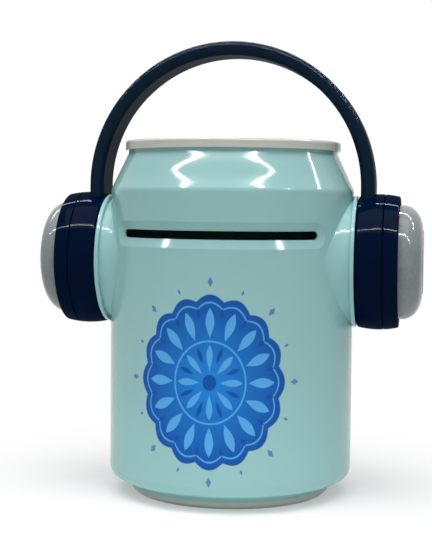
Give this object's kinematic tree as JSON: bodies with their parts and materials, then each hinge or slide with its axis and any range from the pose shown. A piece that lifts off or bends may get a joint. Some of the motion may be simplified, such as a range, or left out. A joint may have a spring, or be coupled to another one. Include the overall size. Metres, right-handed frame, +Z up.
{
  "type": "money box",
  "caption": "Can-shaped plastic money box with a wide coin slot, a lift-off lid and a swinging headphone-style carrying handle on round ear cups.",
  "frame": {"origin": "under the middle of the can, on the surface that it stands on", "axes": "+Z up along the can, +X along the ear axis to the right as seen from the coin slot, -Y out of the coin slot"},
  "size_m": [0.1466, 0.0936, 0.1723],
  "materials": {
    "mint_plastic": "gloss moulded",
    "cream_plastic": "gloss moulded",
    "navy_plastic": "gloss moulded",
    "silver_plastic": "gloss painted",
    "black_plastic": "gloss moulded",
    "steel": "plated"
  },
  "bodies": {
    "can": {"front_shell": "mint_plastic", "rear_shell": "mint_plastic", "base_cap": "cream_plastic", "right_ear_hub": "mint_plastic", "left_ear_hub": "mint_plastic", "right_ear_ring": "navy_plastic", "left_ear_ring": "navy_plastic", "right_ear_dome": "silver_plastic", "left_ear_dome": "silver_plastic", "right_end_disc": "black_plastic", "left_end_disc": "black_plastic", "right_ear_washer": "steel", "left_ear_washer": "steel", "right_ear_screw": "steel", "left_ear_screw": "steel"},
    "handle": {"headband": "navy_plastic", "right_drum": "navy_plastic", "left_drum": "navy_plastic"},
    "lid": {"lid": "cream_plastic"}
  },
  "joints": [
    {"name": "headband_swing", "type": "hinge", "parent": "can", "child": "handle", "pos_m": [0, 0, 0.0892], "axis": [1, 0, 0], "range_deg": [-90, 90]},
    {"name": "lid_lift", "type": "slide", "parent": "can", "child": "lid", "axis": [0, 0, 1], "range_m": [0, 0.008]}
  ]
}
